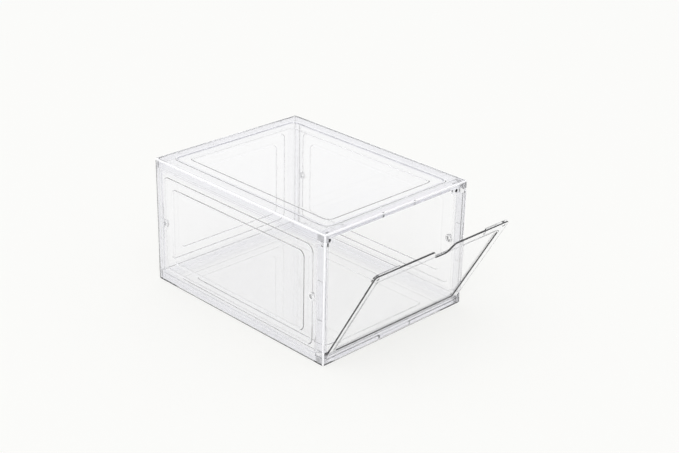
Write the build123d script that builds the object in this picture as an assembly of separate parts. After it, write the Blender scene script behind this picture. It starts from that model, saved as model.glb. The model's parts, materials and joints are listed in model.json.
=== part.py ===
"""Clear stackable storage box with a drop front, moulded in panels that snap together.

Millimetres, +Z up. The origin is the centre of the base's resting face, +Y points to the back,
and the drop-front door is on the -Y side. The door is modelled in its resting position,
part open, and turns about a hinge line just above the sill.
"""

from build123d import *
import os

# Case, over its outer faces
case_width = 270.0
case_depth = 348.0
case_height = 190.0

# Moulded sheet and the air left where panels meet
wall = 2.2
seam_gap = 0.1

# How far each panel's turned edge wraps on to its neighbours
top_edge_depth = 11.0
base_edge_height = 11.0
frame_depth = 15.0
back_return = 10.0

# Hidden lips behind the turned edges, rooted on their own panel
lip_root = 3.0

# Rounding of the outer edges
front_corner_round = 1.5
back_corner_round = 4.0
rim_round = 1.2

# Base pad that stands the case up and nests in the hollow top of the case below
nesting_clearance = 2.0
stacking_gap = 0.1

# Two-step pressing in the five plain panels, with eased shoulders
top_step = 0.75
wall_step = 1.0
press_draft = 1.4
press_ease = 1.6
press_corner = 10.0
press_band_x = 17.5
press_band_y = 15.5
press_band_z = 14.5
top_margin_x = 20.5
top_margin_y = 18.5
side_margin_y = 9.0
side_margin_z = 12.5
back_margin_x = 23.5

# Link rings at mid height on the side panels
ring_radius = 6.0
ring_bore_radius = 3.5
ring_sink = 0.4

# Snap tongues that lock the panels to the frame and the back
tongue_length = 60.0
tongue_height = 56.0
tongue_rise = 1.5
tongue_setback = 0.8

# Round marks of the mould's ejector pins, under the top panel's border
mark_radius = 2.5
mark_depth = 0.4
side_mark_inset = 7.0
side_mark_from_end = 43.0
end_mark_inset = 9.0
end_mark_from_side = 38.0

# Front opening
frame_border = 6.5
sill_height = 9.0

# Door, pressed inwards behind a flat border
door_gap = 0.5
door_wall = 2.4
door_step = 1.8
door_draft = 0.7
door_ease = 0.5
door_corner_round = 5.0
door_border_side = 12.5
door_border_bottom = 11.0
door_press_corner = 3.0
door_edge_round = 0.4
open_angle = 30.0

# Finger notch in the door's top edge
notch_half_top = 19.5
notch_half_bottom = 12.0
notch_depth = 15.0
notch_wall = 1.8
notch_rim_round = 4.0
notch_floor_round = 7.0

# Hinge: a barrel along the door's lower edge with a moulded pin at each end
hinge_setback = 4.6
barrel_radius = 2.25
pin_radius = 1.6
pin_length = 3.8
pin_clearance = 0.05
pin_end_gap = 0.3
hinge_block_height = 11.0

# Catch: magnets in the door's top corners and in tabs of the frame
magnet_radius = 2.5
magnet_thickness = 2.0
magnet_clearance = 0.05
magnet_inset = 7.3
magnet_drop = 6.7
catch_bar_length = 46.0
catch_bar_height = 10.7
catch_gap = 0.25
tab_reach = 14.5
tab_drop = 11.5
tab_thickness = 3.2

# Places worked out from the sizes
half_width = case_width / 2
half_depth = case_depth / 2
front = -half_depth
back = half_depth
ceiling = case_height - wall
pad_drop = 2 * top_step + stacking_gap
rim_low = pad_drop
floor = rim_low + wall
hidden = wall + seam_gap
panel_low = base_edge_height + seam_gap
panel_high = case_height - top_edge_depth - seam_gap
lip_low = floor + seam_gap
lip_high = ceiling - seam_gap
mid_height = (panel_low + panel_high) / 2
frame_rear = front + frame_depth
side_front = frame_rear + seam_gap
return_front = back - back_return
side_back = return_front - seam_gap
opening_half = half_width - frame_border
opening_top = case_height - frame_border
hinge_y = front + hinge_setback
hinge_z = sill_height + door_gap + barrel_radius
door_half = opening_half - door_gap
door_top = opening_top - door_gap
door_front = hinge_y - barrel_radius
door_rear = door_front + door_wall
bar_rear = door_rear + door_step
tab_front = bar_rear + catch_gap
magnet_x = door_half - magnet_inset
magnet_z = door_top - magnet_drop
tab_low = opening_top - tab_drop
hinge_block_top = sill_height + hinge_block_height
hinge_axis = Axis((0, hinge_y, hinge_z), (1, 0, 0))


def slab(x_range, y_range, z_range):
    """Box between two places on each axis."""
    sizes = [high - low for low, high in (x_range, y_range, z_range)]
    centre = [(high + low) / 2 for low, high in (x_range, y_range, z_range)]
    return Pos(*centre) * Box(*sizes)


def both_sides(piece):
    """A piece on the -X side together with its mirror image on the +X side."""
    return piece + mirror(piece, about=Plane.YZ)


def case_block(inset, z_range):
    """Block of the case's plan, drawn in by inset, with its upright corners rounded."""
    block = slab(
        (-half_width + inset, half_width - inset),
        (front + inset, back - inset),
        z_range,
    )
    uprights = block.edges().filter_by(Axis.Z)
    front_pair = uprights.group_by(Axis.Y)[0]
    block = fillet(front_pair, max(front_corner_round - inset, 0.2))
    back_pair = block.edges().filter_by(Axis.Z).group_by(Axis.Y)[-1]
    return fillet(back_pair, max(back_corner_round - inset, 0.2))


def drawn_slab(length_x, length_y, corner, draft, z_from, z_to):
    """Slab with round corners whose sides close in by the draft from z_from to z_to."""
    start = RectangleRounded(length_x, length_y, corner)
    end = RectangleRounded(length_x - 2 * draft, length_y - 2 * draft, corner - draft)
    sections = [Pos(0, 0, z_from) * start, Pos(0, 0, z_to) * end]
    return loft(sections, ruled=True)


def pressed_patch(stages, sheet, step, draft, ease):
    """Patch of sheet with a stepped pressing sunk into its upper face, which is z = 0.

    Each stage is a length, a width and a corner radius, and sinks one step further. Below,
    the pressing stands out as far, wider by the sheet's thickness all round, and its
    shoulders are eased on both faces. The patch's own outline is square, one thickness wider
    than the widest shoulder.
    """
    wide_x = stages[0][0] + 4 * sheet
    wide_y = stages[0][1] + 4 * sheet
    patch = Pos(0, 0, -sheet / 2) * Box(wide_x, wide_y, sheet)
    for count, (length_x, length_y, corner) in enumerate(stages):
        top = -count * step
        patch += drawn_slab(
            length_x + 2 * sheet,
            length_y + 2 * sheet,
            corner + sheet,
            draft,
            top - sheet,
            top - sheet - step,
        )
    for count, (length_x, length_y, corner) in enumerate(stages):
        top = -count * step
        patch -= drawn_slab(length_x, length_y, corner, draft, top, top - step)
    shoulders = [
        edge
        for edge in patch.edges()
        if abs(edge.center().X) < wide_x / 2 - sheet / 2 and abs(edge.center().Y) < wide_y / 2 - sheet / 2
    ]
    return fillet(shoulders, ease)


def two_step_patch(length_x, length_y, band_y, step):
    """Patch pressed in two steps, the inner one in from the outer by the bands."""
    outer = (length_x, length_y, press_corner)
    inner = (length_x - 2 * press_band_x, length_y - 2 * band_y, press_corner - 2.0)
    return pressed_patch([outer, inner], wall, step, press_draft, press_ease)


def with_patch(panel, place, patch, sheet):
    """A panel whose sheet has the patch let into it at a place."""
    size = patch.bounding_box().size
    hole = Pos(0, 0, -sheet / 2) * Box(size.X, size.Y, sheet)
    return (panel - place * hole) + place * patch


def grown(x_range, y_range, z_range, grow):
    """Box between places on each axis, larger by grow on every side."""
    return slab(
        (x_range[0] - grow, x_range[1] + grow),
        (y_range[0] - grow, y_range[1] + grow),
        (z_range[0] - grow, z_range[1] + grow),
    )


def level_tongue(face, outward, z_range, grow=0.0):
    """Tongue along X on a front or back face, standing out of it by the tongue's rise."""
    y_range = sorted((face, face + outward * tongue_rise))
    half = tongue_length / 2
    return grown((-half, half), y_range, z_range, grow)


def front_top_tongue(grow=0.0):
    """Tongue on the frame's upper rail, locked in the top panel."""
    z_range = (opening_top + tongue_setback, lip_high - tongue_setback)
    return level_tongue(front + hidden, -1, z_range, grow)


def front_base_tongue(grow=0.0):
    """Tongue on the frame's lower rail, locked in the base panel."""
    z_range = (lip_low + tongue_setback, sill_height - tongue_setback)
    return level_tongue(front + hidden, -1, z_range, grow)


def back_top_tongue(grow=0.0):
    """Tongue on the back panel's upper lip, locked in the top panel."""
    z_range = (panel_high + 2 * tongue_setback, lip_high - 2 * tongue_setback)
    return level_tongue(back - hidden, 1, z_range, grow)


def back_base_tongue(grow=0.0):
    """Tongue on the back panel's lower lip, locked in the base panel."""
    z_range = (lip_low + 2 * tongue_setback, panel_low - 2 * tongue_setback)
    return level_tongue(back - hidden, 1, z_range, grow)


def upright_tongue(y_range, grow=0.0):
    """Tongue on the left side panel's front or back lip, standing out sideways."""
    x_face = -half_width + hidden
    half = tongue_height / 2
    z_range = (mid_height - half, mid_height + half)
    return grown((x_face - tongue_rise, x_face), y_range, z_range, grow)


def side_front_tongue(grow=0.0):
    """Left side panel's tongue that locks in the front frame."""
    y_range = (front + hidden + 2 * tongue_setback, frame_rear - 2 * tongue_setback)
    return upright_tongue(y_range, grow)


def side_back_tongue(grow=0.0):
    """Left side panel's tongue that locks in the back panel's return."""
    y_range = (return_front + 2 * tongue_setback, back - 2 * hidden - tongue_setback)
    return upright_tongue(y_range, grow)


def top_panel():
    """Top: a shallow tray turned down all round, cut away over the door opening."""
    low = case_height - top_edge_depth
    shell = case_block(0, (low, case_height))
    rim = shell.faces().sort_by(Axis.Z)[-1].edges()
    shell = fillet(rim, rim_round)
    shell -= case_block(wall, (low - wall, ceiling))
    shell -= slab((-opening_half, opening_half), (front - wall, front + hidden), (low - wall, opening_top))
    patch = two_step_patch(
        case_width - 2 * top_margin_x,
        case_depth - 2 * top_margin_y,
        press_band_y,
        top_step,
    )
    shell = with_patch(shell, Pos(0, 0, case_height), patch, wall)
    mark = Cylinder(mark_radius, mark_depth, align=(Align.CENTER, Align.CENTER, Align.MIN))
    side_spot = (half_width - side_mark_inset, half_depth - side_mark_from_end)
    end_spot = (half_width - end_mark_from_side, half_depth - end_mark_inset)
    for x, y in (side_spot, end_spot):
        for across in (-x, x):
            for along in (-y, y):
                shell -= Pos(across, along, ceiling) * mark
    shell -= front_top_tongue(seam_gap)
    shell -= back_top_tongue(seam_gap)
    return shell


def base_panel():
    """Base: a shallow tray turned up all round, pressed down into the pad it stands on."""
    shell = case_block(0, (rim_low, base_edge_height))
    rim = shell.faces().sort_by(Axis.Z)[0].edges()
    shell = fillet(rim, rim_round)
    shell -= case_block(wall, (floor, base_edge_height + wall))
    shell -= slab(
        (-opening_half, opening_half),
        (front - wall, front + hidden),
        (sill_height, base_edge_height + wall),
    )
    draw_in = 2 * (wall + nesting_clearance)
    patch = two_step_patch(
        case_width - 2 * top_margin_x - draw_in,
        case_depth - 2 * top_margin_y - draw_in,
        press_band_y,
        pad_drop / 2,
    )
    shell = with_patch(shell, Pos(0, 0, floor), patch, wall)
    shell -= front_base_tongue(seam_gap)
    shell -= back_base_tongue(seam_gap)
    return shell


def left_side_panel():
    """Left side: a pressed sheet whose lips run behind the four pieces around it."""
    outer = -half_width
    face = outer + wall
    sheet_y = (side_front, side_back)
    sheet_z = (panel_low, panel_high)
    sheet = slab((outer, face), sheet_y, sheet_z)
    lip_x = (face, face + hidden)
    lip_y = (front, back - 2 * hidden)
    post_y = (front, side_front)
    lips = case_block(hidden, (lip_low, lip_high)) & slab(lip_x, lip_y, (lip_low, lip_high))
    lips -= slab(lip_x, post_y, (lip_low, hinge_block_top + seam_gap))
    lips -= slab(lip_x, post_y, (tab_low - seam_gap, lip_high))
    lips += slab((face, face + seam_gap), sheet_y, sheet_z)
    lips -= slab(
        lip_x,
        (side_front + lip_root, side_back - lip_root),
        (panel_low + lip_root, panel_high - lip_root),
    )
    panel = sheet + lips
    form_y = side_back - side_front - 2 * side_margin_y
    form_z = panel_high - panel_low - 2 * side_margin_z
    patch = two_step_patch(form_y, form_z, press_band_z, wall_step)
    form_centre = (outer, (side_front + side_back) / 2, mid_height)
    outside = Plane(origin=form_centre, x_dir=(0, -1, 0), z_dir=(-1, 0, 0))
    panel = with_patch(panel, outside, patch, wall)
    ring_depth = 2 * wall - ring_sink
    ring = Cylinder(ring_radius, ring_depth, align=(Align.CENTER, Align.CENTER, Align.MAX))
    well = Cylinder(ring_radius, wall, align=(Align.CENTER, Align.CENTER, Align.MIN))
    bore = Cylinder(ring_bore_radius, 4 * wall)
    for place in (-form_y / 2, form_y / 2):
        spot = outside * Pos(place, 0, -ring_sink)
        panel = panel + spot * ring - spot * well - spot * bore
    panel += side_front_tongue()
    panel += side_back_tongue()
    return panel


def right_side_panel():
    """Right side: the left side's mirror image."""
    return mirror(left_side_panel(), about=Plane.YZ)


def back_panel():
    """Back: a pressed sheet with round upright corners that return along both sides."""
    shell = case_block(0, (panel_low, panel_high))
    shell -= case_block(wall, (panel_low - wall, panel_high + wall))
    shell = shell & slab((-half_width, half_width), (return_front, back), (panel_low, panel_high))
    face = back - wall
    lip_half = half_width - hidden - back_corner_round
    lip_x = (-lip_half, lip_half)
    lip_y = (face - hidden, face)
    lips = slab(lip_x, (face - hidden, face - seam_gap), (lip_low, lip_high))
    lips += slab(lip_x, lip_y, (panel_low, panel_high))
    lips -= slab(lip_x, lip_y, (panel_low + lip_root, panel_high - lip_root))
    shell += lips
    form_x = case_width - 2 * back_margin_x
    form_z = panel_high - panel_low - 2 * side_margin_z
    patch = two_step_patch(form_x, form_z, press_band_z, wall_step)
    outside = Plane(origin=(0, back, mid_height), x_dir=(-1, 0, 0), z_dir=(0, 1, 0))
    shell = with_patch(shell, outside, patch, wall)
    shell += back_top_tongue()
    shell += back_base_tongue()
    shell -= both_sides(side_back_tongue(seam_gap))
    return shell


def front_frame():
    """Front frame: two corner posts joined by rails hidden in the top and base panels."""
    posts = case_block(0, (panel_low, panel_high))
    posts -= case_block(wall, (panel_low - wall, panel_high + wall))
    posts = posts & slab((-half_width, half_width), (front, frame_rear), (panel_low, panel_high))
    posts -= slab((-opening_half, opening_half), (front - wall, back), (0, case_height))
    ring = case_block(hidden, (lip_low, lip_high))
    ring = ring & slab((-half_width, half_width), (front, frame_rear), (lip_low, lip_high))
    ring -= slab((-opening_half, opening_half), (front, back), (sill_height, opening_top))
    ring -= slab((-half_width, half_width), (front, back), (hinge_block_top, tab_low))
    join_x = (-half_width + wall, -opening_half)
    join_y = (front + wall, frame_rear)
    joins = slab(join_x, join_y, (tab_low, panel_high))
    joins += slab(join_x, join_y, (panel_low, hinge_block_top))
    tab_x = (-opening_half, -opening_half + tab_reach)
    tab_y = (tab_front, tab_front + tab_thickness)
    tab = slab(tab_x, tab_y, (tab_low, opening_top))
    frame = posts + ring + both_sides(joins + tab)
    frame += front_top_tongue()
    frame += front_base_tongue()
    frame -= both_sides(side_front_tongue(seam_gap))
    bore_depth = pin_length - door_gap + pin_end_gap
    bore = Cylinder(pin_radius + pin_clearance, bore_depth, rotation=(0, 90, 0))
    frame -= both_sides(Pos(-opening_half - bore_depth / 2, hinge_y, hinge_z) * bore)
    pocket_depth = magnet_thickness + magnet_clearance
    pocket = Cylinder(magnet_radius + magnet_clearance, pocket_depth, rotation=(90, 0, 0))
    frame -= both_sides(Pos(-magnet_x, tab_front + pocket_depth / 2, magnet_z) * pocket)
    return frame


def door_outline():
    """Door's outline seen from the front, with the finger notch in its upper edge."""
    corners = [
        (-door_half, hinge_z),
        (-door_half, door_top),
        (-notch_half_top, door_top),
        (-notch_half_bottom, door_top - notch_depth),
        (notch_half_bottom, door_top - notch_depth),
        (notch_half_top, door_top),
        (door_half, door_top),
        (door_half, hinge_z),
    ]
    rounds = [
        0,
        door_corner_round,
        notch_rim_round,
        notch_floor_round,
        notch_floor_round,
        notch_rim_round,
        door_corner_round,
        0,
    ]
    return make_face(FilletPolyline(*corners, radius=rounds, close=True))


def closed_door():
    """Door in its closed position: stepped sheet, hinge barrel, pins and catch bars."""
    sheet_plane = Plane(origin=(0, door_rear, 0), x_dir=(1, 0, 0), z_dir=(0, -1, 0))
    door = extrude(sheet_plane * door_outline(), door_wall)
    press_low = hinge_z - barrel_radius + door_border_bottom
    press_high = door_top - notch_depth - notch_wall
    press_centre = (0, door_front, (press_low + press_high) / 2)
    outside = Plane(origin=press_centre, x_dir=(1, 0, 0), z_dir=(0, -1, 0))
    stage = (2 * (door_half - door_border_side), press_high - press_low, door_press_corner)
    patch = pressed_patch([stage], door_wall, door_step, door_draft, door_ease)
    door = with_patch(door, outside, patch, door_wall)
    bar = slab(
        (-door_half, -door_half + catch_bar_length),
        (door_rear, bar_rear),
        (door_top - catch_bar_height, door_top),
    )
    door += both_sides(bar)
    rear_plane = Plane(origin=(0, bar_rear, 0), x_dir=(1, 0, 0), z_dir=(0, -1, 0))
    door = door & extrude(rear_plane * door_outline(), bar_rear - door_front)
    border = door.faces().sort_by(Axis.Y)[0]
    rim = border.outer_wire().edges().sort_by(Axis.Z)[1:]
    door = fillet(rim, door_edge_round)
    barrel = Cylinder(barrel_radius, 2 * door_half, rotation=(0, 90, 0))
    pins = Cylinder(pin_radius, 2 * (door_half + pin_length), rotation=(0, 90, 0))
    door += Pos(0, hinge_y, hinge_z) * (barrel + pins)
    pocket_depth = magnet_thickness + magnet_clearance
    pocket = Cylinder(magnet_radius + magnet_clearance, pocket_depth, rotation=(90, 0, 0))
    door -= both_sides(Pos(-magnet_x, bar_rear - pocket_depth / 2, magnet_z) * pocket)
    return door


def magnet(side, y_centre):
    """Disc magnet on one side of the case, facing front and back, side -1 or 1."""
    disc = Cylinder(magnet_radius, magnet_thickness, rotation=(90, 0, 0))
    return Pos(side * magnet_x, y_centre, magnet_z) * disc


def swung_open(piece):
    """A piece of the closed door turned out to the door's resting position."""
    return piece.rotate(hinge_axis, open_angle)


def build():
    """Every piece of the box by name."""
    frame_magnet_y = tab_front + magnet_clearance + magnet_thickness / 2
    door_magnet_y = bar_rear - magnet_clearance - magnet_thickness / 2
    pieces = {
        "top_panel": top_panel(),
        "base_panel": base_panel(),
        "left_side_panel": left_side_panel(),
        "right_side_panel": right_side_panel(),
        "back_panel": back_panel(),
        "front_frame": front_frame(),
        "door": swung_open(closed_door()),
    }
    for name, side in (("left", -1), ("right", 1)):
        pieces[f"frame_magnet_{name}"] = magnet(side, frame_magnet_y)
        pieces[f"door_magnet_{name}"] = swung_open(magnet(side, door_magnet_y))
    return pieces


os.makedirs("parts", exist_ok=True)
for node, piece in build().items():
    export_step(piece, f"parts/{node}.step")
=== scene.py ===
"""Looks of the clear drop-front shoe box: its plastic, its magnets and a studio to see them in."""

import json
import math

import bpy
import numpy as np
from bpy.props import FloatProperty, FloatVectorProperty, PointerProperty
from mathutils import Matrix, Vector


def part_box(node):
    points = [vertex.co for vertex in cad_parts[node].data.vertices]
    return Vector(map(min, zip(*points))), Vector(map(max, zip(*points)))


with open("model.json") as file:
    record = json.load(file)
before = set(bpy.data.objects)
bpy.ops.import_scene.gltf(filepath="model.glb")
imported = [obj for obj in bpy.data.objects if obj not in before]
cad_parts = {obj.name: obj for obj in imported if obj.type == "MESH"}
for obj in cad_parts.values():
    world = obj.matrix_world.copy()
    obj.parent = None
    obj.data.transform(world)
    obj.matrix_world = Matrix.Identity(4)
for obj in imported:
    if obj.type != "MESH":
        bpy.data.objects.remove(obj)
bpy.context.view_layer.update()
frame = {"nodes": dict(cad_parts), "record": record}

bl_info = {
    "name": "Clear drop-front shoe box",
    "version": (1, 0, 0),
    "blender": (4, 5, 0),
    "location": "3D View > Sidebar > Shoe box",
    "description": "Finishes the pieces of a clear stackable shoe box and lights them",
    "category": "Object",
}

MM = 0.001  # one millimetre, in metres
UP = Vector((0, 0, 1))
# Factors that flatten a place onto a level plane, or onto the sides' upright plane.
LEVEL = Vector((1, 1, 0))
UPRIGHT = Vector((0, 1, 1))
MATH = "ShaderNodeMath"
VECTOR = "ShaderNodeVectorMath"
SPLIT = "ShaderNodeSeparateXYZ"
EASE = "ShaderNodeMapRange"
MIX = "ShaderNodeMix"
# Sockets of a Mix node that mixes colours: its factor, its two colours and its result.
FACTOR, FIRST, SECOND, MIXED = 0, 6, 7, 2
# A face counts as standing across the door's sheet once the cosine between their normals is small,
# and as a tongue's level end once the upright part of its normal is large. Each pair is the range
# over which that eases in.
ACROSS_SHEET = (0.45, 0.75)
LEVEL_END = (0.6, 0.8)
# How softly each kind of band ends, as a share of its width.
BAND_EASE = 0.2
RIM_EASE = 0.3
BORDER_EASE = 0.03
# Depth of the level tongues' marks of painted shade inside the front face, in wall thicknesses.
TONGUE_DEPTH = (0.2, 1.0)
# Noise values between which a handling mark fades in on the gloss.
SMUDGE_RANGE = (0.45, 0.8)
# Heights, on a sphere round the object, between which the low light gives way to the ceiling's.
SKY_RANGE = (0.35, 0.6)
# Where the overhead panel hangs, and the cosines at its outer and inner edge.
PANEL_TOWARDS = Vector((-0.35, -0.1, 1)).normalized()
PANEL_EDGE = (0.72, 0.86)
# Where the soft lamp hangs, and the point that it faces.
KEY_PLACE = Vector((-1.2, -0.6, 2.2))
KEY_AIM = Vector((0, 0, 0.1))
FLOOR_POINTS = 9  # along each side
SENSOR_WIDTH = 36  # of the camera, in millimetres
# Clear sheets lie several deep, so light needs many bounces to get through them all.
BOUNCES = {
    "max_bounces": 32,
    "transmission_bounces": 32,
    "glossy_bounces": 16,
    "diffuse_bounces": 12,
}
PANEL_NODES = ["top_panel", "base_panel", "left_side_panel", "right_side_panel", "back_panel"]
MAGNET_NODES = [
    "frame_magnet_left",
    "frame_magnet_right",
    "door_magnet_left",
    "door_magnet_right",
]


def linear(hex_colour):
    """A colour written as six hex digits of sRGB, turned to linear light."""
    channels = [int(hex_colour[i : i + 2], 16) / 255 for i in (0, 2, 4)]
    return tuple(
        c / 12.92 if c <= 0.04045 else ((c + 0.055) / 1.055) ** 2.4 for c in channels
    )


def colour(name, description, hex_colour):
    """A colour property."""
    return FloatVectorProperty(
        name=name,
        description=description,
        subtype="COLOR",
        default=linear(hex_colour),
        min=0,
        max=1,
    )


def share(name, description, default):
    """A property from 0 to 1."""
    return FloatProperty(
        name=name, description=description, subtype="FACTOR", default=default, min=0, max=1
    )


def length(name, description, default):
    """A length property in metres."""
    return FloatProperty(name=name, description=description, unit="LENGTH", default=default)


def angle(name, description, degrees):
    """An angle property."""
    return FloatProperty(
        name=name, description=description, subtype="ANGLE", default=math.radians(degrees)
    )


def number(name, description, default):
    """A plain number property."""
    return FloatProperty(name=name, description=description, default=default)


class PlasticFinish(bpy.types.PropertyGroup):
    """Finish of the clear moulded pieces."""

    depth: colour("Depth", "Colour that a long way through the plastic tends to", "B9BEC8")
    panel_density: number("Panel density", "How strongly the panels take it, per metre", 0.4)
    frame_density: number("Frame density", "How strongly the front frame takes it, per metre", 1.0)
    door_density: number("Door density", "How strongly the door takes it, per metre", 0.8)
    polish: share("Roughness", "Roughness of the mould's polished faces", 0.025)
    ior: number("IOR", "Refractive index of clear polystyrene", 1.59)
    haze: share("Haze", "Share of light that a face scatters instead of passing it on", 0.006)
    frame_haze: share("Frame haze", "The same share for the front frame", 0.04)
    ripple: length("Flow ripple", "Width of the slow waves that the melt leaves", 38 * MM)
    ripple_height: length("Ripple height", "Height of those waves", 0.03 * MM)
    smudge: length("Smudge", "Width of the handling marks on the gloss", 22 * MM)
    smudge_roughness: share("Smudge roughness", "Roughness that those marks add", 0.05)
    tint: colour("Tint", "Colour that one face gives to the light passing through it", "FEFEFF")
    # Painted shade: a slightly greyer, cooler tint on the border where the panels double up.
    border_shade_tint: colour("Border tint", "That colour on the border along the edges", "FAFAFC")
    border: length("Border", "Width of that border", 18.5 * MM)
    # Painted shade: a grey band on the outside of the top's step, in place of the shade that its
    # sloping shoulder shows.
    step_shade_tint: colour("Step tint", "That colour on the top's outer step", "E0E0E8")
    step: length("Step", "Half the width of that step", 1.3 * MM)
    # Painted highlight: a pale line that scatters light along the outside of the top's step.
    step_highlight_frost: share("Step frost", "Share of light that the line along that step scatters", 0.5)
    margin_x: length("Side margin", "Width of the top's border on the left and right", 20.5 * MM)
    margin_y: length("End margin", "Width of the top's border at the front and back", 18.5 * MM)
    corner: length("Corner", "Corner radius of the top's pressing", 10 * MM)
    # Painted highlight: a pale band that scatters light along the case's outer edges, in place of
    # the highlights on the rounded rims.
    rim: length("Rim", "Width of the pale band along the outer edges of the case", 2.0 * MM)
    rim_highlight_frost: share("Rim frost", "Share of light that this band scatters", 0.8)
    post: length("Post", "Width of the front frame's posts", 7 * MM)
    turned_edge: length("Turned edge", "Height of the top's and the base's turned edges", 11.5 * MM)
    # Painted light: the posts' ends behind the turned edges scatter light, so that they show pale
    # where they would show dark.
    foot_light_frost: share("Foot frost", "Share of light that posts scatter behind those edges", 0.85)
    ring: length("Ring", "Outer radius of the rings round the link holes", 6 * MM)
    # Painted highlight: the rings round the link holes scatter light and show pale.
    ring_highlight_frost: share("Ring frost", "Share of light that these rings scatter", 0.45)
    wall: length("Wall", "Thickness of the case's walls", 2.2 * MM)
    # Painted shade: an opaque near-black colour on the door's cut edges and the tongues' ends, in
    # place of the dark they show where light is led away inside the sheet.
    cut: colour("Cut", "Colour of faces that lead light away from the eye", "121316")
    opening: angle("Opening", "Angle from shut at which the door is drawn", 30)
    # Depths of the band of painted shade, near black, on the door's cut edges.
    cut_shade_start: length(
        "Cut start", "Depth behind the door's face where its cut edge turns dark", -0.1 * MM
    )
    cut_shade_end: length("Cut end", "Depth behind the door's face where that ends", 1.7 * MM)
    tongue_length: length("Tongue length", "Length of the level tongues", 60 * MM)
    tongue_height: length("Tongue height", "Height of the upright tongues", 56 * MM)
    front: length("Front", "Depth of the zone behind the front in which tongues show", 20 * MM)
    # Half width of the painted marks at the tongues' ends: painted shade near the front, and
    # painted highlight on the upright tongues' ends.
    tongue_mark: length("Tongue mark", "Half the width of the mark at a tongue's end", 1.1 * MM)
    # Painted highlight: the upright tongues' level ends scatter light and show as pale ticks.
    tongue_highlight_frost: share("Tongue frost", "Share of light that an upright tongue's ends scatter", 0.7)


class MagnetFinish(bpy.types.PropertyGroup):
    """Finish of the catch magnets."""

    coat: colour("Coat", "Colour of the magnets' black coat", "101012")
    roughness: share("Roughness", "Roughness of the coat", 0.5)
    ior: number("IOR", "Refractive index of the epoxy coat", 1.55)
    # The real grain is too fine to show, so it is drawn as coarse as a close view needs.
    grain: length("Grain", "Width of the coat's grain", 0.4 * MM)
    grain_height: length("Grain height", "Height of that grain", 0.02 * MM)


class StageSettings(bpy.types.PropertyGroup):
    """Floor, light and viewpoint."""

    backdrop: colour("Backdrop", "Colour of the backdrop", "F9F9F8")
    horizon: colour("Horizon", "Light that comes in low, all round", "FFFFFF")
    floor: colour("Floor", "Colour of the floor", "F7F7F5")
    clean: share("Clean", "Share of the floor's own pale colour where it is seen directly", 0.85)
    ceiling: colour("Ceiling", "Light that comes from the upper part of the studio", "F8F8FA")
    panel: number("Panel", "Light that the overhead panel adds", 0.8)
    strength: number("Strength", "Strength of all the light round the object", 1.0)
    key_size: length("Key size", "Side of the soft lamp above and to the left", 1.4)
    key_power: FloatProperty(
        name="Key power", description="Power of that lamp", unit="POWER", default=4.0
    )
    floor_half: length("Floor half", "Half the side of the square floor", 6.0)
    floor_drop: length("Floor drop", "How far the floor lies below the case", 0.3 * MM)
    azimuth: angle(
        "Azimuth", "Camera's direction from straight in front, negative to the left", -44.856
    )
    elevation: angle("Elevation", "Height of the camera as an angle", 24.568)
    roll: angle("Roll", "Turn of the camera about its line of sight", 1.291)
    distance: length("Distance", "Distance from the camera to the middle of the case", 1.9289)
    aside: length("Aside", "How far the camera stands to the right of that line", 44.6 * MM)
    above: length("Above", "How far the camera stands above that line", 6.35 * MM)
    lens: FloatProperty(
        name="Lens",
        description="Focal length on a sensor 36 mm wide",
        unit="CAMERA",
        default=72.11,
    )


def node(tree, kind, inputs=None, output=None, **settings):
    """Adds a node with its settings, its input values and its links from other nodes' outputs. It
    gives back the output asked for, or else the node."""
    made = tree.nodes.new(kind)
    for name, value in settings.items():
        setattr(made, name, value)
    for name, value in (inputs or {}).items():
        if isinstance(value, bpy.types.NodeSocket):
            tree.links.new(value, made.inputs[name])
        else:
            made.inputs[name].default_value = value
    return made if output is None else made.outputs[output]


def blank_material(name):
    """An empty node material and its output."""
    material = bpy.data.materials.new(name)
    material.use_nodes = True
    material.node_tree.nodes.clear()
    return material, node(material.node_tree, "ShaderNodeOutputMaterial")


def case_middle():
    """Centre of the case without its door, and half its size."""
    lows, highs = zip(*(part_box(name) for name in PANEL_NODES + ["front_frame"]))
    low, high = Vector(np.min(lows, axis=0)), Vector(np.max(highs, axis=0))
    return (low + high) / 2, (high - low) / 2


def from_centre(tree, coordinates):
    """Place of a point, measured from the centre of the case."""
    inputs = {0: coordinates.outputs["Object"], 1: case_middle()[0]}
    return node(tree, VECTOR, inputs, "Vector", operation="SUBTRACT")


def short_of(tree, value, limit, ease):
    """1 below a limit and 0 above it, easing over a share of the limit on each side."""
    inputs = {
        "Value": value,
        "From Min": (1 - ease) * limit,
        "From Max": (1 + ease) * limit,
        "To Min": 1.0,
        "To Max": 0.0,
    }
    return node(tree, EASE, inputs, "Result", interpolation_type="SMOOTHSTEP")


def within(tree, value, start, end):
    """1 where a value lies from start to end, easing to 0 round each of them."""
    inputs = {0: value, 1: (start + end) / 2}
    offset = node(tree, MATH, inputs, 0, operation="SUBTRACT")
    away = node(tree, MATH, {0: offset}, 0, operation="ABSOLUTE")
    return short_of(tree, away, (end - start) / 2, BAND_EASE)


def edge_distance(tree, coordinates):
    """Distance from the nearest of the case's twelve outer edges, which is the second least of the
    distances from its sides."""
    offset = from_centre(tree, coordinates)
    spread = node(tree, VECTOR, {0: offset}, "Vector", operation="ABSOLUTE")
    inputs = {0: case_middle()[1], 1: spread}
    inside = node(tree, VECTOR, inputs, "Vector", operation="SUBTRACT")
    x, y, z = node(tree, SPLIT, {"Vector": inside}).outputs
    least = node(tree, MATH, {0: x, 1: y}, 0, operation="MINIMUM")
    most = node(tree, MATH, {0: x, 1: y}, 0, operation="MAXIMUM")
    next_least = node(tree, MATH, {0: most, 1: z}, 0, operation="MINIMUM")
    return node(tree, MATH, {0: least, 1: next_least}, 0, operation="MAXIMUM")


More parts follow.
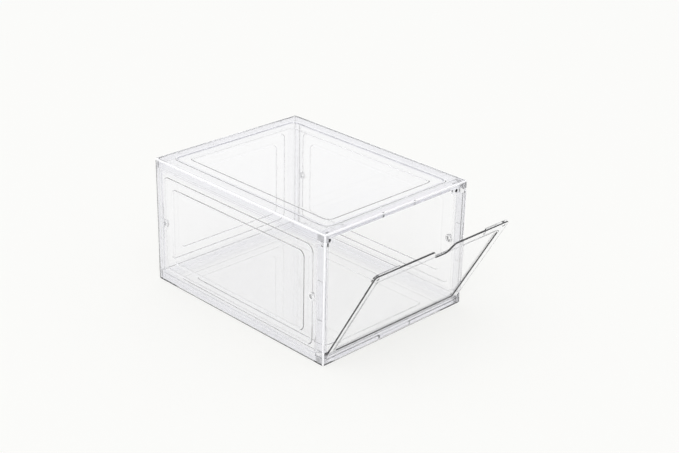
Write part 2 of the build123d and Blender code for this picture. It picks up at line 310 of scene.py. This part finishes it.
def rim_share(tree, coordinates, finish):
    """1 on the twelve outer edges of the case, where the rims' painted highlight goes."""
    return short_of(tree, edge_distance(tree, coordinates), finish.rim, RIM_EASE)


def border_shade_share(tree, coordinates, finish):
    """1 on the border along the case's edges, where panels turn over and double up and get a tint
    of painted shade.
    """
    return short_of(tree, edge_distance(tree, coordinates), finish.border, BORDER_EASE)


def step_distance(tree, coordinates, finish):
    """Distance outwards from the outline of the top's pressing, which is a rectangle with round
    corners: how far a point lies beyond its straight sides, less the corners' radius. A metre is
    added below the top's sheet, so that nothing there counts."""
    half = case_middle()[1]
    straight = Vector((half.x - finish.margin_x, half.y - finish.margin_y, 0))
    straight -= Vector((finish.corner, finish.corner, 0))
    offset = from_centre(tree, coordinates)
    flat = node(tree, VECTOR, {0: offset, 1: LEVEL}, "Vector", operation="MULTIPLY")
    spread = node(tree, VECTOR, {0: flat}, "Vector", operation="ABSOLUTE")
    beyond = node(tree, VECTOR, {0: spread, 1: straight}, "Vector", operation="SUBTRACT")
    past = node(tree, VECTOR, {0: beyond, 1: Vector()}, "Vector", operation="MAXIMUM")
    outside = node(tree, VECTOR, {0: past}, "Value", operation="LENGTH")
    x, y, _ = node(tree, SPLIT, {"Vector": beyond}).outputs
    most = node(tree, MATH, {0: x, 1: y}, 0, operation="MAXIMUM")
    inside = node(tree, MATH, {0: most, 1: 0.0}, 0, operation="MINIMUM")
    either = node(tree, MATH, {0: outside, 1: inside}, 0, operation="ADD")
    away = node(tree, MATH, {0: either, 1: finish.corner}, 0, operation="SUBTRACT")
    height = node(tree, SPLIT, {"Vector": offset}).outputs["Z"]
    inputs = {0: height, 1: half.z - 2 * finish.wall}
    below = node(tree, MATH, inputs, 0, operation="LESS_THAN")
    return node(tree, MATH, {0: away, 1: below}, 0, operation="ADD")


def step_line_share(tree, coordinates, finish):
    """1 on the line along the outside of the top's step, where a painted highlight goes."""
    return within(tree, step_distance(tree, coordinates, finish), 0, finish.step)


def ring_share(tree, coordinates, finish):
    """1 on the rings round the side panels' link holes, which the record gives as bores, and where
    a painted highlight goes. The two sides mirror each other, so the holes of one stand for both."""
    inputs = {0: coordinates.outputs["Object"], 1: UPRIGHT}
    flat = node(tree, VECTOR, inputs, "Vector", operation="MULTIPLY")
    total = 0.0
    for mount in frame["record"]["mounts"]:
        if mount["kind"] == "bore" and mount["axis"][0] < 0:
            inputs = {0: flat, 1: Vector((0, *mount["pos_m"][1:]))}
            away = node(tree, VECTOR, inputs, "Value", operation="DISTANCE")
            ring = within(tree, away, mount["dims"]["r_mm"] * MM, finish.ring)
            total = node(tree, MATH, {0: ring, 1: total}, 0, operation="ADD")
    return total


def level_tongue_share(tree, coordinates, finish):
    """1 at the ends of the front's level tongues: a narrow upright band at half a tongue's length
    on each side, inside the front edges of the top and the base."""
    x, y, _ = node(tree, SPLIT, {"Vector": from_centre(tree, coordinates)}).outputs
    depth = node(tree, MATH, {0: y, 1: case_middle()[1].y}, 0, operation="ADD")
    buried = within(tree, depth, *(part * finish.wall for part in TONGUE_DEPTH))
    aside = node(tree, MATH, {0: x}, 0, operation="ABSOLUTE")
    half, mark = finish.tongue_length / 2, finish.tongue_mark
    end = within(tree, aside, half - mark, half + mark)
    return node(tree, MATH, {0: end, 1: buried}, 0, operation="MULTIPLY")


def upright_tongue_share(tree, coordinates, finish):
    """1 at the ends of the upright tongues: the level faces at half a tongue's height above and
    below mid height."""
    rise = node(tree, SPLIT, {"Vector": from_centre(tree, coordinates)}).outputs["Z"]
    facing = node(tree, SPLIT, {"Vector": coordinates.outputs["Normal"]}).outputs["Z"]
    slope = node(tree, MATH, {0: facing}, 0, operation="ABSOLUTE")
    inputs = {"Value": slope, "From Min": LEVEL_END[0], "From Max": LEVEL_END[1]}
    level = node(tree, EASE, inputs, "Result", interpolation_type="SMOOTHSTEP")
    away = node(tree, MATH, {0: rise}, 0, operation="ABSOLUTE")
    half, mark = finish.tongue_height / 2, finish.tongue_mark
    end = within(tree, away, half - mark, half + mark)
    return node(tree, MATH, {0: end, 1: level}, 0, operation="MULTIPLY")


def tongue_painted_shade(tree, coordinates, finish):
    """1 at the ends of the tongues along the front, which get painted shade: short near-black
    marks.
    """
    along = node(tree, SPLIT, {"Vector": from_centre(tree, coordinates)}).outputs["Y"]
    inputs = {0: along, 1: finish.front - case_middle()[1].y}
    front = node(tree, MATH, inputs, 0, operation="LESS_THAN")
    inputs = {0: upright_tongue_share(tree, coordinates, finish), 1: front}
    upright = node(tree, MATH, inputs, 0, operation="MULTIPLY")
    inputs = {0: upright, 1: level_tongue_share(tree, coordinates, finish)}
    return node(tree, MATH, inputs, 0, operation="MAXIMUM")


def door_painted_shade(tree, coordinates, finish):
    """1 on the faces that stand across the door's sheet, such as its cut edges and steps, between
    two depths behind its front face: where the door gets painted shade, near black. The sheet leans
    out by the angle at which it is drawn."""
    outward = Vector((0, -math.cos(finish.opening), -math.sin(finish.opening)))
    face = max(vertex.co.dot(outward) for vertex in frame["nodes"]["door"].data.vertices)
    inputs = {0: coordinates.outputs["Normal"], 1: outward}
    facing = node(tree, VECTOR, inputs, "Value", operation="DOT_PRODUCT")
    slope = node(tree, MATH, {0: facing}, 0, operation="ABSOLUTE")
    start, end = ACROSS_SHEET
    inputs = {"Value": slope, "From Min": start, "From Max": end, "To Min": 1.0, "To Max": 0.0}
    across = node(tree, EASE, inputs, "Result", interpolation_type="SMOOTHSTEP")
    inputs = {0: coordinates.outputs["Object"], 1: outward}
    reach = node(tree, VECTOR, inputs, "Value", operation="DOT_PRODUCT")
    depth = node(tree, MATH, {0: face, 1: reach}, 0, operation="SUBTRACT")
    band = within(tree, depth, finish.cut_shade_start, finish.cut_shade_end)
    return node(tree, MATH, {0: across, 1: band}, 0, operation="MULTIPLY")


def case_tint_and_shade(tree, coordinates, finish):
    """Colour that a face of the case gives to the light passing through it: its own tint, with
    painted shade as a cooler grey on the border along the edges and a darker grey on the top's
    outer step."""
    border = border_shade_share(tree, coordinates, finish)
    inputs = {FACTOR: border, FIRST: (*finish.tint, 1), SECOND: (*finish.border_shade_tint, 1)}
    tint = node(tree, MIX, inputs, MIXED, data_type="RGBA")
    away = step_distance(tree, coordinates, finish)
    step = within(tree, away, -2 * finish.step, 0)
    inputs = {FACTOR: step, FIRST: tint, SECOND: (*finish.step_shade_tint, 1)}
    return node(tree, MIX, inputs, MIXED, data_type="RGBA")


def case_painted_highlights(tree, coordinates, finish):
    """Painted highlights: the share of light that the outer rims, the link rings, the upright
    tongues' ends and the line along the top's step scatter, which makes them pale."""
    highlight_frosts = {
        rim_share: finish.rim_highlight_frost,
        ring_share: finish.ring_highlight_frost,
        upright_tongue_share: finish.tongue_highlight_frost,
        step_line_share: finish.step_highlight_frost,
    }
    most = 0.0
    for share_on, frost in highlight_frosts.items():
        inputs = {0: share_on(tree, coordinates, finish), 1: frost}
        scattered = node(tree, MATH, inputs, 0, operation="MULTIPLY")
        most = node(tree, MATH, {0: scattered, 1: most}, 0, operation="MAXIMUM")
    return most


def frame_painted_light(tree, coordinates, finish):
    """The same share for the front frame, with painted light on its posts' ends behind the turned
    edges of the top and the base: these scatter light and show pale where they would show dark."""
    half = case_middle()[1]
    offset = from_centre(tree, coordinates)
    spread = node(tree, VECTOR, {0: offset}, "Vector", operation="ABSOLUTE")
    x, _, z = node(tree, SPLIT, {"Vector": spread}).outputs
    side = node(tree, MATH, {0: x, 1: half.x - finish.post}, 0, operation="GREATER_THAN")
    end = node(tree, MATH, {0: z, 1: half.z - finish.turned_edge}, 0, operation="GREATER_THAN")
    foot = node(tree, MATH, {0: side, 1: end}, 0, operation="MULTIPLY")
    foot_painted_light = node(tree, MATH, {0: foot, 1: finish.foot_light_frost}, 0, operation="MULTIPLY")
    inputs = {0: foot_painted_light, 1: case_painted_highlights(tree, coordinates, finish)}
    return node(tree, MATH, inputs, 0, operation="MAXIMUM")


def clear_styrene(name, finish, density, haze, dark, frost=None, tint_and_shade_of=None):
    """Clear polystyrene, injection moulded in polished steel: water clear face on, with slow flow
    ripples that bend what is seen through it and faint handling marks that only its gloss shows.
    Density says how strongly a long way through it takes light, and haze how much every face
    scatters. Dark gives each face's share of painted shade, near black where light is led away from
    the eye; frost gives the share that scatters light as a pale painted highlight, such as rims and
    rings; and the tint function gives the colour that a face gives to the light, painted shade
    included, where those aren't the same all over."""
    material, output = blank_material(name)
    tree = material.node_tree
    coordinates = node(tree, "ShaderNodeTexCoord")
    place = coordinates.outputs["Object"]
    inputs = {"Vector": place, "Scale": 1 / finish.ripple, "Detail": 1.0}
    ripple = node(tree, "ShaderNodeTexNoise", inputs, "Fac")
    inputs = {"Height": ripple, "Distance": finish.ripple_height, "Strength": 1.0}
    normal = node(tree, "ShaderNodeBump", inputs, "Normal")
    inputs = {"Vector": place, "Scale": 1 / finish.smudge, "Detail": 6.0, "Roughness": 0.65}
    marks = node(tree, "ShaderNodeTexNoise", inputs, "Fac")
    inputs = {
        "Value": marks,
        "From Min": SMUDGE_RANGE[0],
        "From Max": SMUDGE_RANGE[1],
        "To Min": finish.polish,
        "To Max": finish.polish + finish.smudge_roughness,
    }
    gloss = node(tree, EASE, inputs, "Result", interpolation_type="SMOOTHSTEP")
    tint = tint_and_shade_of(tree, coordinates, finish) if tint_and_shade_of else (*finish.tint, 1)
    # Painted shade: the dark share turns a face opaque and near black; the frost share below turns
    # it pale, a painted highlight.
    opaque = dark(tree, coordinates, finish)
    inputs = {FACTOR: opaque, FIRST: tint, SECOND: (*finish.cut, 1)}
    tint = node(tree, MIX, inputs, MIXED, data_type="RGBA")
    if frost:
        inputs = {0: opaque, 1: frost(tree, coordinates, finish)}
        opaque = node(tree, MATH, inputs, 0, operation="MAXIMUM")
    opaque = node(tree, MATH, {0: opaque, 1: haze}, 0, operation="MAXIMUM")
    clear = node(tree, MATH, {0: 1.0, 1: opaque}, 0, operation="SUBTRACT")
    inputs = {
        "Base Color": tint,
        "Roughness": gloss,
        "IOR": finish.ior,
        "Transmission Weight": clear,
        "Normal": normal,
    }
    surface = node(tree, "ShaderNodeBsdfPrincipled", inputs, "BSDF")
    inputs = {"Color": (*finish.depth, 1), "Density": density}
    volume = node(tree, "ShaderNodeVolumeAbsorption", inputs, "Volume")
    tree.links.new(surface, output.inputs["Surface"])
    tree.links.new(volume, output.inputs["Volume"])
    return material


def coated_magnet(finish):
    """Sintered ferrite in a black epoxy coat: near black, half matt, with a fine grain."""
    material, output = blank_material("black_coated_ferrite")
    tree = material.node_tree
    place = node(tree, "ShaderNodeTexCoord", output="Object")
    inputs = {"Vector": place, "Scale": 1 / finish.grain, "Detail": 3.0}
    grain = node(tree, "ShaderNodeTexNoise", inputs, "Fac")
    inputs = {"Height": grain, "Distance": finish.grain_height, "Strength": 0.6}
    normal = node(tree, "ShaderNodeBump", inputs, "Normal")
    inputs = {
        "Base Color": (*finish.coat, 1),
        "Roughness": finish.roughness,
        "IOR": finish.ior,
        "Normal": normal,
    }
    surface = node(tree, "ShaderNodeBsdfPrincipled", inputs, "BSDF")
    tree.links.new(surface, output.inputs["Surface"])
    return material


def dress(names, material):
    """Gives CAD nodes their material."""
    for name in names:
        piece = frame["nodes"][name]
        piece.data.materials.clear()
        piece.data.materials.append(material)


class SHOEBOX_OT_panels(bpy.types.Operator):
    """Gives the panels of the case their plastic"""

    bl_idname = "shoebox.panels"
    bl_label = "Panels"

    def execute(self, context):
        finish = context.scene.shoebox_plastic
        plastic = clear_styrene(
            "moulded_clear_styrene",
            finish,
            finish.panel_density,
            finish.haze,
            tongue_painted_shade,
            case_painted_highlights,
            case_tint_and_shade,
        )
        dress(PANEL_NODES, plastic)
        return {"FINISHED"}


class SHOEBOX_OT_front_frame(bpy.types.Operator):
    """Gives the front frame its plastic"""

    bl_idname = "shoebox.front_frame"
    bl_label = "Front frame"

    def execute(self, context):
        finish = context.scene.shoebox_plastic
        plastic = clear_styrene(
            "moulded_clear_styrene_frame",
            finish,
            finish.frame_density,
            finish.frame_haze,
            tongue_painted_shade,
            frame_painted_light,
            case_tint_and_shade,
        )
        dress(["front_frame"], plastic)
        return {"FINISHED"}


class SHOEBOX_OT_door(bpy.types.Operator):
    """Gives the door its plastic"""

    bl_idname = "shoebox.door"
    bl_label = "Door"

    def execute(self, context):
        finish = context.scene.shoebox_plastic
        plastic = clear_styrene(
            "moulded_clear_styrene_door",
            finish,
            finish.door_density,
            finish.haze,
            door_painted_shade,
        )
        dress(["door"], plastic)
        return {"FINISHED"}


class SHOEBOX_OT_magnets(bpy.types.Operator):
    """Gives the catch magnets their coat"""

    bl_idname = "shoebox.magnets"
    bl_label = "Magnets"

    def execute(self, context):
        dress(MAGNET_NODES, coated_magnet(context.scene.shoebox_magnet))
        return {"FINISHED"}


def studio_world(settings):
    """World that shows its plain backdrop straight behind the object. For everything else it is
    white low down, a little dimmer higher up, and has a broad bright panel overhead to one side."""
    world = bpy.data.worlds.new("studio")
    world.use_nodes = True
    tree = world.node_tree
    tree.nodes.clear()
    direction = node(tree, "ShaderNodeTexCoord", output="Generated")
    height = node(tree, SPLIT, {"Vector": direction}).outputs["Z"]
    inputs = {"Value": height, "From Min": SKY_RANGE[0], "From Max": SKY_RANGE[1]}
    rise = node(tree, EASE, inputs, "Result", interpolation_type="SMOOTHSTEP")
    inputs = {FACTOR: rise, FIRST: (*settings.horizon, 1), SECOND: (*settings.ceiling, 1)}
    sky = node(tree, MIX, inputs, MIXED, data_type="RGBA")
    inputs = {0: direction, 1: PANEL_TOWARDS}
    facing = node(tree, VECTOR, inputs, "Value", operation="DOT_PRODUCT")
    inputs = {
        "Value": facing,
        "From Min": PANEL_EDGE[0],
        "From Max": PANEL_EDGE[1],
        "To Max": settings.panel,
    }
    panel = node(tree, EASE, inputs, "Result", interpolation_type="SMOOTHSTEP")
    inputs = {FACTOR: 1.0, FIRST: sky, SECOND: panel}
    lit = node(tree, MIX, inputs, MIXED, data_type="RGBA", blend_type="ADD")
    straight = node(tree, "ShaderNodeLightPath", output="Is Camera Ray")
    inputs = {FACTOR: straight, FIRST: lit, SECOND: (*settings.backdrop, 1)}
    seen = node(tree, MIX, inputs, MIXED, data_type="RGBA")
    inputs = {"Color": seen, "Strength": settings.strength}
    surface = node(tree, "ShaderNodeBackground", inputs, "Background")
    node(tree, "ShaderNodeOutputWorld", {"Surface": surface})
    bpy.context.scene.world = world


def pale_floor(settings):
    """Smooth white board: matt, and partly bright by itself where a ray meets it straight from the
    eye, or by way of plastic or a gloss, so that it keeps only a faint shadow."""
    material, output = blank_material("matt_white_board")
    tree = material.node_tree
    path = node(tree, "ShaderNodeLightPath").outputs
    direct = path["Is Camera Ray"]
    for ray in ("Is Transmission Ray", "Is Glossy Ray"):
        direct = node(tree, MATH, {0: direct, 1: path[ray]}, 0, operation="MAXIMUM")
    part = node(tree, MATH, {0: direct, 1: settings.clean}, 0, operation="MULTIPLY")
    floor = (*settings.floor, 1)
    matt = node(tree, "ShaderNodeBsdfDiffuse", {"Color": floor}, 0)
    glow = node(tree, "ShaderNodeEmission", {"Color": floor, "Strength": 1.0}, 0)
    both = node(tree, "ShaderNodeMixShader", {0: part, 1: matt, 2: glow}, 0)
    tree.links.new(both, output.inputs["Surface"])
    return material


def level_sheet(name, half_size, height):
    """Level sheet: a square grid of points x = u, y = v, with u and v from -half to half."""
    steps = np.linspace(-half_size, half_size, FLOOR_POINTS)
    u, v = np.meshgrid(steps, steps, indexing="ij")
    points = np.stack([u, v, np.full_like(u, height)], axis=-1).reshape(-1, 3)
    first = np.arange(FLOOR_POINTS - 1)
    corner = (first[:, None] * FLOOR_POINTS + first).reshape(-1)
    faces = corner[:, None] + np.array([0, FLOOR_POINTS, FLOOR_POINTS + 1, 1])
    mesh = bpy.data.meshes.new(name)
    mesh.from_pydata(points.tolist(), [], faces.tolist())
    sheet = bpy.data.objects.new(name, mesh)
    bpy.context.scene.collection.objects.link(sheet)
    return sheet


def soft_light(name, place, aim, size, power):
    """Square area light at a place, aimed at a point."""
    data = bpy.data.lights.new(name, "AREA")
    data.shape = "SQUARE"
    data.size = size
    data.energy = power
    light = bpy.data.objects.new(name, data)
    light.location = place
    light.rotation_euler = (aim - place).to_track_quat("-Z", "Y").to_euler()
    bpy.context.scene.collection.objects.link(light)


def viewpoint(settings):
    """Camera looking at the middle of the case from an azimuth and elevation, then rolled and
    moved aside within its own plane."""
    turn, rise, roll = settings.azimuth, settings.elevation, settings.roll
    level = Vector((math.sin(turn), -math.cos(turn), 0))
    back = level * math.cos(rise) + UP * math.sin(rise)
    level_right = UP.cross(back).normalized()
    level_up = back.cross(level_right)
    right = level_right * math.cos(roll) + level_up * math.sin(roll)
    up = level_up * math.cos(roll) - level_right * math.sin(roll)
    place = case_middle()[0] + back * settings.distance
    place += right * settings.aside + up * settings.above
    data = bpy.data.cameras.new("viewpoint")
    data.sensor_fit = "HORIZONTAL"
    data.sensor_width = SENSOR_WIDTH
    data.lens = settings.lens
    camera = bpy.data.objects.new("viewpoint", data)
    turned = Matrix((right, up, back)).transposed().to_4x4()
    camera.matrix_world = Matrix.Translation(place) @ turned
    bpy.context.scene.collection.objects.link(camera)
    bpy.context.scene.camera = camera


class SHOEBOX_OT_stage(bpy.types.Operator):
    """Sets up the floor, the light and the camera"""

    bl_idname = "shoebox.stage"
    bl_label = "Stage"

    def execute(self, context):
        scene = context.scene
        settings = scene.shoebox_stage
        studio_world(settings)
        floor = level_sheet("floor", settings.floor_half, -settings.floor_drop)
        floor.data.materials.append(pale_floor(settings))
        soft_light("key", KEY_PLACE, KEY_AIM, settings.key_size, settings.key_power)
        viewpoint(settings)
        scene.view_settings.view_transform = "Standard"
        for name, count in BOUNCES.items():
            setattr(scene.cycles, name, count)
        return {"FINISHED"}


class SHOEBOX_PT_parts(bpy.types.Panel):
    """Lists the steps that finish the shoe box"""

    bl_label = "Shoe box"
    bl_idname = "SHOEBOX_PT_parts"
    bl_space_type = "VIEW_3D"
    bl_region_type = "UI"
    bl_category = "Shoe box"

    def draw(self, context):
        for step in STEPS:
            self.layout.operator(step.bl_idname)


GROUPS = {
    "shoebox_plastic": PlasticFinish,
    "shoebox_magnet": MagnetFinish,
    "shoebox_stage": StageSettings,
}
STEPS = [
    SHOEBOX_OT_panels,
    SHOEBOX_OT_front_frame,
    SHOEBOX_OT_door,
    SHOEBOX_OT_magnets,
    SHOEBOX_OT_stage,
]
CLASSES = [*GROUPS.values(), *STEPS, SHOEBOX_PT_parts]


def register():
    for cls in CLASSES:
        bpy.utils.register_class(cls)
    for name, group in GROUPS.items():
        setattr(bpy.types.Scene, name, PointerProperty(type=group))


def unregister():
    for name in GROUPS:
        delattr(bpy.types.Scene, name)
    for cls in reversed(CLASSES):
        bpy.utils.unregister_class(cls)


def main():
    """Registers the classes and finishes every piece."""
    register()
    bpy.ops.shoebox.panels()
    bpy.ops.shoebox.front_frame()
    bpy.ops.shoebox.door()
    bpy.ops.shoebox.magnets()
    bpy.ops.shoebox.stage()


if __name__ == "__main__":
    main()
